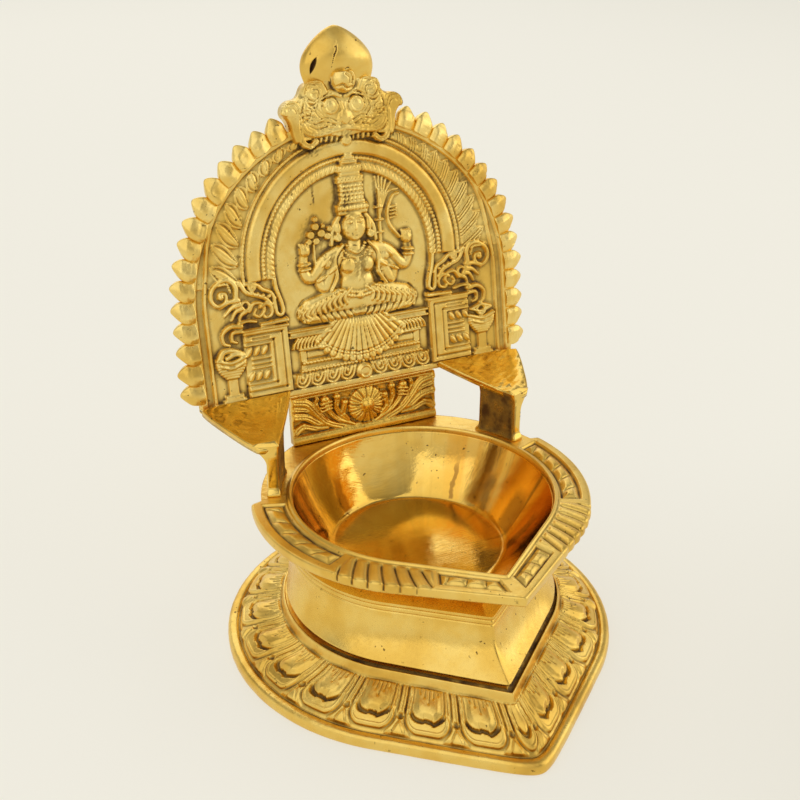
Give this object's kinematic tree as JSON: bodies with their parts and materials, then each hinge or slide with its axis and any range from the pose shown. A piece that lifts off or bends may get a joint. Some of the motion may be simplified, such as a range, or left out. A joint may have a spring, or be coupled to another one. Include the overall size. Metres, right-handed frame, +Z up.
{
  "type": "brass oil lamp",
  "caption": "Cast brass oil lamp: lotus foot, flared waist, teardrop oil bowl with a spout tip, and an arched relief back plate on two brackets.",
  "frame": {"origin": "centre of the bounding box in plan, on the plane the foot stands on", "axes": "+Z up; the bowl's spout tip points to -Y and the back plate stands at +Y; +X to the right seen from the spout"},
  "size_m": [0.154, 0.1789, 0.2236],
  "materials": {
    "foot_brass": "satin brass with brown patina between the petals",
    "drum_brass": "polished brass with fine turning marks",
    "bowl_brass": "polished brass, darker in the rim's grooves",
    "plate_brass": "satin brass with brown patina in the relief",
    "finial_brass": "polished brass with a few dark casting cracks",
    "apron_brass": "aged brass with deep brown patina",
    "bracket_brass": "polished brass, rough and brown on the inner sides",
    "fixing_brass": "dull aged brass"
  },
  "bodies": {
    "root": {"lotus_foot": "foot_brass", "waist_drum": "drum_brass", "oil_bowl": "bowl_brass", "centre_stud": "fixing_brass", "bridge_bar": "fixing_brass", "clamp_washer": "fixing_brass", "clamp_nut": "fixing_brass", "back_plate": "plate_brass", "leaf_finial": "finial_brass", "finial_pin": "fixing_brass", "apron_panel": "apron_brass", "left_bracket": "bracket_brass", "right_bracket": "bracket_brass", "left_leg_pin": "fixing_brass", "right_leg_pin": "fixing_brass", "left_apron_pin": "fixing_brass", "right_apron_pin": "fixing_brass", "left_shelf_rivet": "fixing_brass", "right_shelf_rivet": "fixing_brass"}
  },
  "joints": []
}
